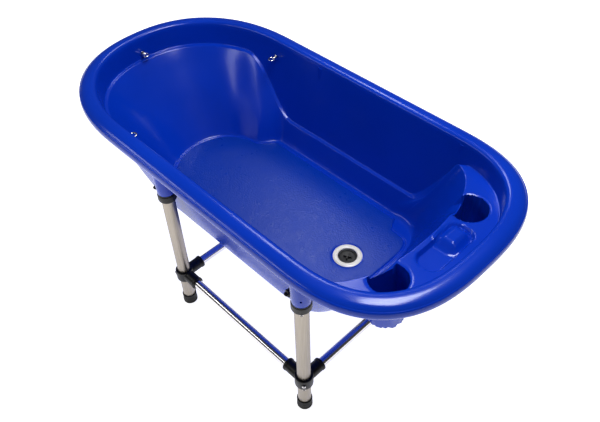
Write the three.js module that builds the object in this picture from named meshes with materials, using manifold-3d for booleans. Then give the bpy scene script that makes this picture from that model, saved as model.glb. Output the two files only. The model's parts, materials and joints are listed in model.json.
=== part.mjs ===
// Portable pet bathtub: a moulded plastic tub on four steel legs, which a low frame of tubes ties together.
// Millimetres, +Z up. X runs along the tub, from the deep sloped end (-X) to the end with the shelf (+X).
// The origin is on the floor under the middle of the rim.
import * as THREE from "three";
import { mergeVertices } from "three/addons/utils/BufferGeometryUtils.js";
import Module from "manifold-3d";

const wasm = await Module();
wasm.setup();

// ---- Driving dimensions ----
const GAP = 0.35; // clearance between pieces that touch

// Rim, measured on the middle line of the roll
const RIM_HALF_LENGTH = 635;
const RIM_HALF_WIDTH = 308;
const RIM_TOP = 560.5;
const DEEP_END = { centre: -275, power: 2.25 };
const SHELF_END = { centre: 340, power: 2.7 };

// Basin
const WALL = 5;
const SHELF_Z = 505;
const DEEP_LEDGE_Z = 490; // height of the ledge round the deep end
const SIDE_LEDGE_Z = 330; // height of the ledge along the two sides
const FLOOR_Z = 258;
const FLOOR = { left: -405, right: 372, halfWidth: 206, leftCentre: -245, rightCentre: 265 };
const SHELF_EDGE = { right: 490, centre: 360, power: 2.3 };

// Shelf details
const CUP = { x: 503, y: 143, radius: 45, floorZ: 388, wall: 4, lip: 8 };
const DISH = { x: 536, y: 10, length: 156, width: 68, depth: 12 };
const HUMP = { x: 534, y: 45, length: 74, width: 56, top: 516 };

// Legs
const LEG_X = [-105, 383]; // deep-end pair, shelf-end pair
const LEG_Y = 287;
const LEG_RADIUS = 17.5;
const LEG_WALL = 1.5;
const LEG_BOTTOM = 7;
const LEG_TOP = 506;
const SOCKET = { bottom: 449, top: 546, lowRadius: 22.5, topRadius: 24 };
const COLLAR = { bottom: 424, top: 449 - GAP, radius: 24.2 };
const FOOT = { radius: 20.5, height: 34 };

// Lower frame
const BRACE_Z = 125;
const RAIL_RADIUS = 12.7;
const RAIL_WALL = 1.2;
const ARM = { radius: 18, reach: 60 };
const RING_RADIUS = 24;
const RAIL_START = 32; // from the leg's axis to the end of a rail

// Snap buttons, under each collar and under each connector
const BUTTON_RADIUS = 4;
const BUTTON_PROUD = 4.5;
const UPPER_BUTTON_Z = COLLAR.bottom - GAP - BUTTON_RADIUS;
const LOWER_BUTTON_Z = BRACE_Z - ARM.radius - GAP - BUTTON_RADIUS;

// Locking knobs
const KNOB = { z: 437, stemRadius: 4, headStart: 36, headLength: 10, radius: 12 };

// Drain
const DRAIN = { x: 262, flangeRadius: 40, holeRadius: 26, tailRadius: 29, seatZ: 256 };

// Tie points: an eye that turns on a stud through the wall
const TIE_Z = 507;
const TIES = [
  { name: "end", x: -598.3, y: 0, turn: 0 },
  { name: "rear", x: -285, y: 267.6, turn: -Math.PI / 2 },
  { name: "front", x: -285, y: -267.6, turn: Math.PI / 2 },
];

// ---- Materials ----
const paint = (color, roughness, metalness) => new THREE.MeshStandardMaterial({ color, roughness, metalness });
const BLUE = paint(0x0a3fb5, 0.22, 0);
const SATIN_STEEL = paint(0xb5aca2, 0.38, 1);
const CHROME = paint(0xc8c8cc, 0.12, 1);
const BLACK = paint(0x17181a, 0.45, 0);
const RUBBER = paint(0x101012, 0.8, 0);
const IVORY = paint(0xe6e1d6, 0.4, 0);

// ---- Solids ----
function solid(geometry) {
  const bare = geometry.clone();
  for (const name of Object.keys(bare.attributes)) if (name !== "position") bare.deleteAttribute(name);
  const merged = mergeVertices(bare, 1e-4);
  const corners = merged.index.array;
  const triangles = [];
  for (let i = 0; i < corners.length; i += 3) {
    const [a, b, c] = [corners[i], corners[i + 1], corners[i + 2]];
    if (a !== b && b !== c && c !== a) triangles.push(a, b, c);
  }
  const places = merged.attributes.position.array;
  const at = (k) => new THREE.Vector3().fromArray(places, 3 * k);
  let volume = 0;
  for (let i = 0; i < triangles.length; i += 3) {
    volume += at(triangles[i]).dot(at(triangles[i + 1]).cross(at(triangles[i + 2])));
  }
  if (volume < 0) triangles.reverse();
  const mesh = new wasm.Mesh({
    numProp: 3,
    vertProperties: new Float32Array(places),
    triVerts: new Uint32Array(triangles),
  });
  return new wasm.Manifold(mesh);
}

function geometryOf(body) {
  const mesh = body.getMesh();
  const geometry = new THREE.BufferGeometry();
  geometry.setAttribute("position", new THREE.BufferAttribute(new Float32Array(mesh.vertProperties), 3));
  geometry.setIndex(new THREE.BufferAttribute(new Uint32Array(mesh.triVerts), 1));
  geometry.computeVertexNormals();
  return geometry;
}

// A turned shape about Z from [radius, height] pairs. It closes on itself unless both ends are on the axis.
function turned(pairs, segments = 24) {
  const points = pairs.map(([radius, height]) => new THREE.Vector2(radius, height));
  if (pairs[0][0] > 0) points.push(points[0].clone());
  return new THREE.LatheGeometry(points, segments).rotateX(Math.PI / 2);
}

function ring(inner, outer, bottom, top, segments) {
  return turned([[inner, bottom], [outer, bottom], [outer, top], [inner, top]], segments);
}

function rod(radius, bottom, top, segments) {
  return turned([[0, bottom], [radius, bottom], [radius, top], [0, top]], segments);
}

// A nut with flat sides and a round hole
function nut(inner, outer, bottom, top, sides) {
  return solid(rod(outer, bottom, top, sides)).subtract(solid(rod(inner, bottom - 1, top + 1, 24)));
}

// A rounded box, centred on X and Y, from bottom to top
function block(length, width, corner, bottom, top) {
  const outline = new THREE.Shape();
  const [a, b] = [length / 2 - corner, width / 2 - corner];
  outline.absarc(a, b, corner, 0, Math.PI / 2);
  outline.absarc(-a, b, corner, Math.PI / 2, Math.PI);
  outline.absarc(-a, -b, corner, Math.PI, 1.5 * Math.PI);
  outline.absarc(a, -b, corner, 1.5 * Math.PI, 2 * Math.PI);
  const body = new THREE.ExtrudeGeometry(outline, { depth: top - bottom, bevelEnabled: false, curveSegments: 4 });
  return body.translate(0, 0, bottom);
}

const root = new THREE.Group();
function place(name, shape, material, x = 0, y = 0, z = 0, turn = 0) {
  const body = shape instanceof THREE.BufferGeometry ? solid(shape) : shape;
  const mesh = new THREE.Mesh(geometryOf(body), material);
  mesh.name = name;
  mesh.position.set(x, y, z);
  mesh.rotation.z = turn;
  root.add(mesh);
  return mesh;
}

// ---- Tub ----
// Steps round the outline: each end takes END_STEPS, each side takes SIDE_STEPS.
const END_STEPS = 18;
const SIDE_STEPS = 9;
const STEPS = 2 * (END_STEPS + SIDE_STEPS);

// A point of an outline with two rounded ends and straight sides, at step k of STEPS
function outlinePoint(line, k) {
  const half = (steps, power) => {
    const angle = (Math.PI * steps) / END_STEPS - Math.PI / 2;
    const bend = (value) => Math.sign(value) * Math.abs(value) ** (2 / power);
    return [bend(Math.cos(angle)), bend(Math.sin(angle))];
  };
  if (k <= END_STEPS) {
    const [u, v] = half(k, line.rightPower);
    return [line.rightCentre + (line.right - line.rightCentre) * u, line.halfWidth * v];
  }
  if (k < END_STEPS + SIDE_STEPS) {
    const share = (k - END_STEPS) / SIDE_STEPS;
    return [line.rightCentre + (line.leftCentre - line.rightCentre) * share, line.halfWidth];
  }
  if (k <= 2 * END_STEPS + SIDE_STEPS) {
    const [u, v] = half(k - END_STEPS - SIDE_STEPS, line.leftPower);
    return [line.leftCentre + (line.left - line.leftCentre) * u, -line.halfWidth * v];
  }
  const share = (k - 2 * END_STEPS - SIDE_STEPS) / SIDE_STEPS;
  return [line.leftCentre + (line.rightCentre - line.leftCentre) * share, -line.halfWidth];
}

// The rim's outline, moved outward by grow
function rimLine(grow) {
  return {
    left: -RIM_HALF_LENGTH - grow,
    right: RIM_HALF_LENGTH + grow,
    halfWidth: RIM_HALF_WIDTH + grow,
    leftCentre: DEEP_END.centre,
    rightCentre: SHELF_END.centre,
    leftPower: DEEP_END.power,
    rightPower: SHELF_END.power,
  };
}

const smooth = (low, high, value) => THREE.MathUtils.smoothstep(value, low, high);

// The ledge is high round the deep end, dips along the sides, and becomes the shelf at the other end.
function ledgeHeight(x) {
  const fromDeepEnd = DEEP_LEDGE_Z + (SIDE_LEDGE_Z - DEEP_LEDGE_Z) * smooth(-400, -190, x);
  return fromDeepEnd + (SHELF_Z - SIDE_LEDGE_Z) * smooth(265, 425, x);
}

// How far the drafted wall stands in from the rim's middle line at height z
const wallInset = (z) => 34 + (545 - z) * 0.165;

const rimRing = (grow, z) => (k) => [...outlinePoint(rimLine(grow), k), z];

function ledgeOuter(k, grow, drop) {
  const [x] = outlinePoint(rimLine(-40), k);
  const z = ledgeHeight(x);
  const [px, py] = outlinePoint({ ...rimLine(-wallInset(z) + grow), right: 601 + grow, left: -597 - grow }, k);
  return [px, py, z - drop];
}

function ledgeInner(k, grow, drop) {
  const [x] = outlinePoint(rimLine(-40), k);
  const z = ledgeHeight(x);
  const line = {
    ...rimLine(-wallInset(z) - 9 + grow),
    left: -587 - grow,
    right: SHELF_EDGE.right + grow,
    rightCentre: SHELF_EDGE.centre,
    rightPower: SHELF_EDGE.power,
  };
  return [...outlinePoint(line, k), z - drop];
}

function floorPoint(k, grow, z) {
  const line = {
    left: FLOOR.left - grow,
    right: FLOOR.right + grow,
    halfWidth: FLOOR.halfWidth + grow,
    leftCentre: FLOOR.leftCentre,
    rightCentre: FLOOR.rightCentre,
    leftPower: 2.2,
    rightPower: 3,
  };
  return [...outlinePoint(line, k), z];
}

const between = (a, b, share) => a.map((value, i) => value + (b[i] - value) * share);
const drainRing = (radius, z) => (k) => {
  const [x, y] = floorPoint(k, 0, z);
  const away = Math.hypot(x - DRAIN.x, y);
  return [DRAIN.x + ((x - DRAIN.x) / away) * radius, (y / away) * radius, z];
};

// Rings from the middle of the underside, round the rim, to the middle of the basin floor
const tubRings = [
  drainRing(0, DRAIN.seatZ - WALL),
  drainRing(60, DRAIN.seatZ - WALL),
  (k) => floorPoint(k, 0, FLOOR_Z - WALL),
  (k) => between(floorPoint(k, WALL + 3, FLOOR_Z + 6), ledgeInner(k, WALL, 10), 0.06),
  (k) => ledgeInner(k, WALL, 10),
  (k) => ledgeOuter(k, WALL, 6),
  rimRing(-28.5, 540),
  rimRing(-23, 551),
  rimRing(-8, 554),
  rimRing(4, 549.5),
  rimRing(9, 541),
  rimRing(9.5, 530),
  rimRing(12.5, 529),
  rimRing(14.5, 534),
  rimRing(14.5, 542),
  rimRing(11.5, 549.5),
  rimRing(4, 555.5),
  rimRing(-6, 559),
  rimRing(-20, RIM_TOP),
  rimRing(-29, 558),
  rimRing(-33.5, 549),
  (k) => ledgeOuter(k, 0, 0),
  (k) => ledgeInner(k, 0, 3),
  (k) => between(floorPoint(k, 7, FLOOR_Z + 12), ledgeInner(k, 0, 3), 0.04),
  (k) => floorPoint(k, 2, FLOOR_Z + 3),
  (k) => floorPoint(k, -6, FLOOR_Z),
  drainRing(52, DRAIN.seatZ),
  drainRing(0, DRAIN.seatZ),
];

// Takes a lathe's grid of faces and puts each of its rings where the ring's function says.
function loft(rings, segments) {
  const profile = rings.map((_, j) => new THREE.Vector2(j === 0 || j === rings.length - 1 ? 0 : 1, j));
  const lathe = new THREE.LatheGeometry(profile, segments);
  const places = lathe.attributes.position;
  for (let i = 0; i <= segments; i += 1) {
    rings.forEach((ringAt, j) => places.setXYZ(i * rings.length + j, ...ringAt(i % segments)));
  }
  return lathe;
}

// The space outside the middle of the side wall, which keeps a leg socket out of the basin
function outsideWall(x, side) {
  const section = new THREE.Shape();
  section.moveTo(SOCKET.bottom - 1, 259.5);
  section.lineTo(SOCKET.top + 1, 276.5);
  section.lineTo(SOCKET.top + 1, 330);
  section.lineTo(SOCKET.bottom - 1, 330);
  section.closePath();
  const slab = new THREE.ExtrudeGeometry(section, { depth: 80, bevelEnabled: false });
  slab.translate(0, 0, -40).rotateY(-Math.PI / 2); // section now runs up Z and out along +Y
  if (side < 0) slab.rotateZ(Math.PI);
  return slab.translate(x, 0, 0);
}

// The space on the shelf's side of the basin's end wall, less the lip that stays in front of the cup holders
function behindLip(lip) {
  const { right, centre, power } = SHELF_EDGE;
  const line = { ...rimLine(-50), right: right + lip, rightCentre: centre, rightPower: power };
  const outline = new THREE.Shape();
  for (let k = 0; k <= END_STEPS; k += 1) outline[k ? "lineTo" : "moveTo"](...outlinePoint(line, k));
  outline.lineTo(RIM_HALF_LENGTH, line.halfWidth);
  outline.lineTo(RIM_HALF_LENGTH, -line.halfWidth);
  outline.closePath();
  const depth = SHELF_Z + 22 - CUP.floorZ;
  return new THREE.ExtrudeGeometry(outline, { depth, bevelEnabled: false }).translate(0, 0, CUP.floorZ - 1);
}

function tubShell() {
  let shell = solid(loft(tubRings, STEPS));
  const legPlaces = LEG_X.flatMap((x) => [[x, -LEG_Y], [x, LEG_Y]]);
  for (const [x, y] of legPlaces) {
    const { bottom, top, lowRadius, topRadius } = SOCKET;
    const boss = turned([[0, bottom], [lowRadius, bottom], [topRadius, top], [0, top]], 18).translate(x, y, 0);
    shell = shell.add(solid(boss).intersect(solid(outsideWall(x, Math.sign(y)))));
  }
  for (const [x, y] of legPlaces) {
    const bore = rod(LEG_RADIUS + GAP, SOCKET.bottom - 20, LEG_TOP + 3, 20).translate(x, y, 0);
    const collarRelief = rod(COLLAR.radius + GAP, COLLAR.bottom - 20, SOCKET.bottom, 24).translate(x, y, 0);
    shell = shell.subtract(solid(bore)).subtract(solid(collarRelief));
    const pinHole = rod(3, LEG_RADIUS - 4, LEG_RADIUS + 12, 8)
      .rotateX(Math.PI / 2)
      .rotateZ(y < 0 ? 0 : Math.PI)
      .translate(x, y, 471);
    shell = shell.subtract(solid(pinHole));
  }
  // Cup holders: round buckets, cut flat where the basin wall passes them
  for (const side of [-1, 1]) {
    const bucket = rod(CUP.radius + CUP.wall, CUP.floorZ - CUP.wall, SHELF_Z - 4, 24);
    shell = shell.add(solid(bucket.translate(CUP.x, side * CUP.y, 0)));
  }
  for (const side of [-1, 1]) {
    const hollow = rod(CUP.radius, CUP.floorZ, SHELF_Z + 20, 24).translate(CUP.x, side * CUP.y, 0);
    shell = shell.subtract(solid(hollow).intersect(solid(behindLip(CUP.lip))));
  }
  const dishUnder = block(DISH.width + 8, DISH.length + 8, 20, SHELF_Z - DISH.depth - 4, SHELF_Z - 4);
  const dishHollow = block(DISH.width, DISH.length, 16, SHELF_Z - DISH.depth, SHELF_Z + 20);
  const hump = block(HUMP.width, HUMP.length, 14, SHELF_Z - DISH.depth - 2, HUMP.top);
  shell = shell.add(solid(dishUnder.translate(DISH.x, DISH.y, 0)));
  shell = shell.subtract(solid(dishHollow.translate(DISH.x, DISH.y, 0)));
  shell = shell.add(solid(hump.translate(HUMP.x, HUMP.y, 0)));

  const holes = [rod(DRAIN.tailRadius + GAP, FLOOR_Z - 30, FLOOR_Z + 10, 24).translate(DRAIN.x, 0, 0)];
  for (const tie of TIES) {
    holes.push(rod(3.2 + GAP, -30, 30, 10).rotateY(Math.PI / 2).rotateZ(tie.turn).translate(tie.x, tie.y, TIE_Z));
  }
  for (const hole of holes) shell = shell.subtract(solid(hole));
  return shell;
}

place("tub_shell", tubShell(), BLUE);

// ---- Legs, with all that sits on each ----
function legTube(corner) {
  const [outer, inner] = [LEG_RADIUS, LEG_RADIUS - LEG_WALL];
  let tube = solid(ring(inner, outer, LEG_BOTTOM, LEG_TOP, 18));
  for (const z of [UPPER_BUTTON_Z, LOWER_BUTTON_Z]) {
    const hole = rod(BUTTON_RADIUS + GAP, 8, 24, 10).rotateY(Math.PI / 2).rotateZ(corner).translate(0, 0, z);
    tube = tube.subtract(solid(hole));
  }
  return tube;
}

function snapButton() {
  const [tip, base] = [LEG_RADIUS + BUTTON_PROUD, LEG_RADIUS - LEG_WALL - 6];
  const dome = [[0, base], [BUTTON_RADIUS, base], [BUTTON_RADIUS, tip - 2], [BUTTON_RADIUS * 0.7, tip - 0.6], [0, tip]];
  return turned(dome, 10).rotateY(Math.PI / 2);
}

function collar() {
  const { bottom, top, radius } = COLLAR;
  const inner = LEG_RADIUS + GAP;
  const profile = [[inner, bottom], [radius - 2, bottom], [radius, bottom + 3], [radius, top - 3], [radius - 1.5, top], [inner, top]];
  const bossLength = 31;
  const boss = rod(7.5, 20, bossLength, 12).rotateY(-Math.PI / 2).translate(0, 0, KNOB.z);
  const hole = rod(KNOB.stemRadius + GAP, 10, 40, 10).rotateY(-Math.PI / 2).translate(0, 0, KNOB.z);
  return solid(turned(profile, 18)).add(solid(boss)).subtract(solid(hole));
}

// Five-lobed knob on a threaded stem that bears on the leg, pointing to -X
function knob() {
  const outline = new THREE.Shape();
  const lobes = 5;
  const points = lobes * 5;
  for (let i = 0; i < points; i += 1) {
    const angle = (2 * Math.PI * i) / points;
    const radius = KNOB.radius - 2.6 + 2.6 * Math.cos(lobes * angle);
    outline[i ? "lineTo" : "moveTo"](radius * Math.cos(angle), radius * Math.sin(angle));
  }
  outline.closePath();
  const head = new THREE.ExtrudeGeometry(outline, { depth: KNOB.headLength, bevelEnabled: false });
  head.translate(0, 0, KNOB.headStart);
  const stem = rod(KNOB.stemRadius, LEG_RADIUS + GAP, KNOB.headStart + 2, 10);
  const whole = solid(head).add(solid(stem));
  return geometryOf(whole).rotateY(-Math.PI / 2);
}

// Corner connector: a ring round the leg and two arms, towards +X and +Y before it is turned to its corner
function connector(armX, armY) {
  const [bottom, top] = [-ARM.radius, ARM.radius];
  const ringProfile = [[0, bottom], [RING_RADIUS - 2, bottom], [RING_RADIUS, bottom + 2], [RING_RADIUS, top - 2], [RING_RADIUS - 2, top], [0, top]];
  const armProfile = [[0, 0], [ARM.radius, 0], [ARM.radius, ARM.reach - 2], [ARM.radius - 2, ARM.reach], [0, ARM.reach]];
  let body = solid(turned(ringProfile, 18));
  body = body.add(solid(turned(armProfile, 14).rotateY((armX * Math.PI) / 2)));
  body = body.add(solid(turned(armProfile, 14).rotateX((-armY * Math.PI) / 2)));
  const railBore = () => rod(RAIL_RADIUS + GAP, RAIL_START - 1, ARM.reach + 5, 14);
  body = body.subtract(solid(railBore().rotateY((armX * Math.PI) / 2)));
  body = body.subtract(solid(railBore().rotateX((-armY * Math.PI) / 2)));
  body = body.subtract(solid(rod(LEG_RADIUS + GAP, bottom - 5, top + 5, 18)));
  const corner = Math.atan2(-armY, -armX);
  const boltHole = rod(2.5 + GAP, 10, 40, 8).rotateY(Math.PI / 2).rotateZ(corner);
  return body.subtract(solid(boltHole));
}

function clampBolt() {
  const seat = RING_RADIUS + GAP;
  const profile = [[0, LEG_RADIUS + 2 * GAP], [2.5, LEG_RADIUS + 2 * GAP], [2.5, seat], [5, seat], [5, seat + 2.4], [3.6, seat + 3.6], [0, seat + 3.6]];
  return turned(profile, 10).rotateY(Math.PI / 2);
}

function foot() {
  const { radius, height } = FOOT;
  const inner = LEG_RADIUS + GAP;
  return turned([[0, 0], [radius - 1.5, 0], [radius, 2], [radius, height - 2], [radius - 1, height], [inner, height], [inner, LEG_BOTTOM - GAP], [0, LEG_BOTTOM - GAP]], 18);
}

const corners = [
  { name: "front_deep", x: LEG_X[0], side: -1, inward: 1 },
  { name: "front_shelf", x: LEG_X[1], side: -1, inward: -1 },
  { name: "rear_deep", x: LEG_X[0], side: 1, inward: 1 },
  { name: "rear_shelf", x: LEG_X[1], side: 1, inward: -1 },
];
for (const { name, x, side, inward } of corners) {
  const y = side * LEG_Y;
  const outward = Math.atan2(side, -inward);
  place(`leg_${name}`, legTube(outward), SATIN_STEEL, x, y);
  place(`foot_${name}`, foot(), RUBBER, x, y);
  place(`collar_${name}`, collar(), BLACK, x, y);
  place(`knob_${name}`, knob(), BLACK, x, y, KNOB.z);
  place(`upper_button_${name}`, snapButton(), CHROME, x, y, UPPER_BUTTON_Z, outward);
  place(`lower_button_${name}`, snapButton(), CHROME, x, y, LOWER_BUTTON_Z, outward);
  place(`connector_${name}`, connector(inward, -side), BLACK, x, y, BRACE_Z);
  place(`clamp_bolt_${name}`, clampBolt(), CHROME, x, y, BRACE_Z, outward);
}

// ---- Rails of the lower frame ----
const rail = (length) => ring(RAIL_RADIUS - RAIL_WALL, RAIL_RADIUS, -length / 2, length / 2, 14);
const railLength = LEG_X[1] - LEG_X[0] - 2 * RAIL_START;
const crossLength = 2 * (LEG_Y - RAIL_START);
for (const [name, side] of [["front", -1], ["rear", 1]]) {
  const middle = (LEG_X[0] + LEG_X[1]) / 2;
  place(`long_rail_${name}`, rail(railLength).rotateY(Math.PI / 2), CHROME, middle, side * LEG_Y, BRACE_Z);
}
for (const [name, x] of [["deep", LEG_X[0]], ["shelf", LEG_X[1]]]) {
  place(`cross_rail_${name}`, rail(crossLength).rotateX(Math.PI / 2), CHROME, x, 0, BRACE_Z);
}

// ---- Drain ----
const { x: drainX, seatZ, flangeRadius, holeRadius, tailRadius } = DRAIN;
const tailBottom = seatZ - 46;
const flange = turned([
  [holeRadius, seatZ - 8], [22, seatZ - 10], [22, tailBottom], [tailRadius - 1, tailBottom], [tailRadius - 1, seatZ + GAP],
  [flangeRadius, seatZ + GAP], [flangeRadius - 1, seatZ + 2.6], [holeRadius + 2, seatZ + 3.6], [holeRadius, seatZ + 2],
], 24);
place("drain_flange", flange, IVORY, drainX);
const underside = seatZ - WALL - GAP;
place("drain_gasket", ring(tailRadius + 0.5, 38, underside - 3, underside, 20), RUBBER, drainX);
const nutTop = underside - 3 - GAP;
place("drain_locknut", nut(tailRadius - 1 + GAP, 40, nutTop - 12, nutTop, 8), BLACK, drainX);
const spigotTop = tailBottom - GAP;
const spigot = turned([
  [15, spigotTop - 42], [18, spigotTop - 42], [20, spigotTop - 34], [18.5, spigotTop - 33], [20, spigotTop - 24],
  [18.5, spigotTop - 23], [18.5, spigotTop - 8], [tailRadius - 1, spigotTop - 4], [tailRadius - 1, spigotTop], [15, spigotTop],
], 16);
place("drain_spigot", spigot, BLACK, drainX);

// Stopper: a disc with a crossed grip that stands in the flange and lifts straight out
function stopper() {
  const discTop = seatZ - 1;
  const edge = holeRadius - GAP;
  let body = solid(turned([[0, seatZ - 7], [edge, seatZ - 7], [edge, discTop - 1], [edge - 1, discTop], [0, discTop]], 20));
  for (const turn of [0, Math.PI / 2]) {
    body = body.add(solid(block(22, 4, 1.5, discTop - 2, discTop + 3).rotateZ(turn + 0.5)));
  }
  return body;
}
place("drain_stopper", stopper(), BLACK, drainX);

// ---- Tie points ----
// Each is drawn with its stud along X and the inside of the basin towards +X.
const STUD_RADIUS = 3.2;
const EYE = { radius: 8.5, wire: 2.3, centre: 19 };
const alongX = (geometry) => geometry.rotateY(Math.PI / 2);
function eye() {
  const loop = new THREE.TorusGeometry(EYE.radius, EYE.wire, 6, 14).translate(EYE.centre, 0, 0);
  const hub = alongX(rod(4.6, 5.2, EYE.centre - EYE.radius + 1, 10));
  return solid(loop).add(solid(hub)).subtract(solid(alongX(rod(STUD_RADIUS - 0.4, 4, 9.5, 10))));
}
function tieStud() {
  return alongX(turned([
    [0, -16], [STUD_RADIUS, -16], [STUD_RADIUS, 4.6], [STUD_RADIUS - 0.8, 5], [STUD_RADIUS - 0.8, 9], [0, 9],
  ], 10));
}
for (const { name, x, y, turn } of TIES) {
  place(`tie_stud_${name}`, tieStud(), CHROME, x, y, TIE_Z, turn);
  place(`tie_eye_${name}`, eye(), CHROME, x, y, TIE_Z, turn);
  place(`tie_washer_${name}`, alongX(ring(STUD_RADIUS + GAP, 8, 2.5, 4.1, 12)), CHROME, x, y, TIE_Z, turn);
  place(`tie_nut_${name}`, solid(alongX(geometryOf(nut(STUD_RADIUS + GAP, 6, -13.6, -8, 6)))), CHROME, x, y, TIE_Z, turn);
}

export default root;
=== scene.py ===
import json
import math

import bmesh
import bpy
import numpy as np
from mathutils import Matrix, Vector

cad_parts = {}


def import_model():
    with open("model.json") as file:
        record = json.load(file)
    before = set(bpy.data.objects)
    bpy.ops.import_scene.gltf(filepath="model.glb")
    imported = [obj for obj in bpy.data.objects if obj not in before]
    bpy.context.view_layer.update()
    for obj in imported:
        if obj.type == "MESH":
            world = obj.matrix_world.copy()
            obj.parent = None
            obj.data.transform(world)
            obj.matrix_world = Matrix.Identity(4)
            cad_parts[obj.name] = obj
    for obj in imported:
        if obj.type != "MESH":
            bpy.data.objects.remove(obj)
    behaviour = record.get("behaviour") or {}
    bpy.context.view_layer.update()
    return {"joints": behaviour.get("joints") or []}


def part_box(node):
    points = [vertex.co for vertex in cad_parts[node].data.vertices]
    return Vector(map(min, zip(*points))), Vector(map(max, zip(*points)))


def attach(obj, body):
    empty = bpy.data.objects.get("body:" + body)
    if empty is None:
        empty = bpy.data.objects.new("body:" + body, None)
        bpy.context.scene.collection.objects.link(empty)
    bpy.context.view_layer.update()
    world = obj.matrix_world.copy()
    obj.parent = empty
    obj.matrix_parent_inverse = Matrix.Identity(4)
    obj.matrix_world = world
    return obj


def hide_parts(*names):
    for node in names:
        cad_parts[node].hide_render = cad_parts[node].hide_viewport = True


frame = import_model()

TAU = 2 * math.pi

# ---- Sizes, worked out from the CAD nodes where a node gives them ----
_, tub_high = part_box("tub_shell")
RIM_HALF_LENGTH = tub_high.x
RIM_HALF_WIDTH = tub_high.y
ROLL_OUT = 0.0145  # from the roll's middle line to its outer face
MID_LENGTH = RIM_HALF_LENGTH - ROLL_OUT
MID_WIDTH = RIM_HALF_WIDTH - ROLL_OUT
DEEP_CENTRE, DEEP_POWER = -0.275, 2.25
SHELF_CENTRE, SHELF_POWER = 0.340, 2.7

WALL = 0.005
SHELF_Z = 0.505
DEEP_LEDGE_Z = 0.490
SIDE_LEDGE_Z = 0.330
FLOOR_Z = 0.258
FLOOR_LEFT, FLOOR_RIGHT = -0.398, 0.372
FLOOR_HALF_WIDTH, FLOOR_DEEP_HALF_WIDTH = 0.206, 0.149
PANEL_LEFT, PANEL_RIGHT = -0.386, 0.352
PANEL_HALF_WIDTH, PANEL_DEEP_HALF_WIDTH = 0.186, 0.1385
PANEL_RISE, PANEL_GROOVE = 0.0020, 0.0016
CUP_X, CUP_Y, CUP_RADIUS, CUP_FLOOR_Z, CUP_LIP = 0.503, 0.145, 0.046, 0.388, 0.0045
DISH = {"x": 0.536, "y": 0.009, "length": 0.166, "width": 0.070, "corner": 0.030, "depth": 0.012}
HUMP = {"x": 0.531, "y": 0.046, "length": 0.090, "width": 0.074, "corner": 0.026, "top": 0.512}

CORNERS = ("front_deep", "front_shelf", "rear_deep", "rear_shelf")
LEG_RADIUS = 0.0175
SOCKET_BOTTOM, SOCKET_TOP = 0.449, 0.545
PIN_HOLE_Z = 0.471
COLLAR_BOTTOM = 0.424
BUTTON_RADIUS = 0.004
KNOB_WAY = (-1, 0, 0)
GAP = 0.00035
BRACE_Z = 0.125
RAIL_RADIUS = 0.0127
CONNECTOR_RING_RADIUS = 0.024

drain_low, drain_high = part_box("drain_flange")
DRAIN_X = (drain_low.x + drain_high.x) / 2
DRAIN_SEAT_Z = 0.256
DRAIN_TAIL_RADIUS = 0.029
DRAIN_TAIL_BOTTOM = DRAIN_SEAT_Z - 0.046
SEAL_THICKNESS = 0.003

STUD_RADIUS = 0.0032
TIE_EYE_REACH = 0.019  # from the wall to the eye's middle


# ---- Materials ----
class Material:
    """A node material with a Principled shader, and short calls for the nodes that feed it."""

    def __init__(self, name, color, roughness, metallic=0.0):
        self.material = bpy.data.materials.new(name)
        self.material.use_nodes = True
        self.tree = self.material.node_tree
        self.shader = self.tree.nodes["Principled BSDF"]
        self.shader.inputs["Base Color"].default_value = (*color, 1)
        self.shader.inputs["Roughness"].default_value = roughness
        self.shader.inputs["Metallic"].default_value = metallic
        self.place = self.tree.nodes.new("ShaderNodeTexCoord").outputs["Object"]

    def node(self, kind, **values):
        made = self.tree.nodes.new(kind)
        for name, value in values.items():
            setattr(made, name, value)
        return made

    def link(self, source, target):
        self.tree.links.new(source, target)

    def scaled(self, scale):
        """Object coordinates stretched along each axis."""
        mapping = self.node("ShaderNodeMapping")
        mapping.inputs["Scale"].default_value = scale
        self.link(self.place, mapping.inputs["Vector"])
        return mapping.outputs["Vector"]

    def noise(self, scale, detail=3.0, roughness=0.5, stretch=(1, 1, 1)):
        made = self.node("ShaderNodeTexNoise")
        made.inputs["Scale"].default_value = scale
        made.inputs["Detail"].default_value = detail
        made.inputs["Roughness"].default_value = roughness
        self.link(self.scaled(stretch), made.inputs["Vector"])
        return made.outputs["Fac"]

    def mapped(self, value, low, high, to_low, to_high):
        made = self.node("ShaderNodeMapRange")
        made.inputs["From Min"].default_value = low
        made.inputs["From Max"].default_value = high
        made.inputs["To Min"].default_value = to_low
        made.inputs["To Max"].default_value = to_high
        self.link(value, made.inputs["Value"])
        return made.outputs["Result"]

    def colours(self, value, dark, light):
        made = self.node("ShaderNodeMix", data_type="RGBA")
        made.inputs["A"].default_value = (*dark, 1)
        made.inputs["B"].default_value = (*light, 1)
        self.link(value, made.inputs["Factor"])
        return made.outputs["Result"]

    def bump(self, height, strength, distance):
        made = self.node("ShaderNodeBump")
        made.inputs["Strength"].default_value = strength
        made.inputs["Distance"].default_value = distance
        self.link(height, made.inputs["Height"])
        return made.outputs["Normal"]

    def tint(self, value, dark, light):
        """Colours the surface between two tones by a noise value."""
        self.feed(Base_Color=self.colours(self.mapped(value, 0.3, 0.7, 0, 1), dark, light))

    def vary_roughness(self, value, low, high):
        self.feed(Roughness=self.mapped(value, 0.3, 0.7, low, high))

    def set(self, **values):
        """Plain values on the shader's own sockets, named with _ for a space."""
        for name, value in values.items():
            self.shader.inputs[name.replace("_", " ")].default_value = value

    def feed(self, **sources):
        for name, source in sources.items():
            self.link(source, self.shader.inputs[name.replace("_", " ")])


def blue_plastic(name, dark, light):
    """Moulded plastic, a little cloudy in tone."""
    m = Material(name, light, 0.22)
    m.set(IOR=1.46)
    m.tint(m.noise(3.5, 2), dark, light)
    return m


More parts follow.
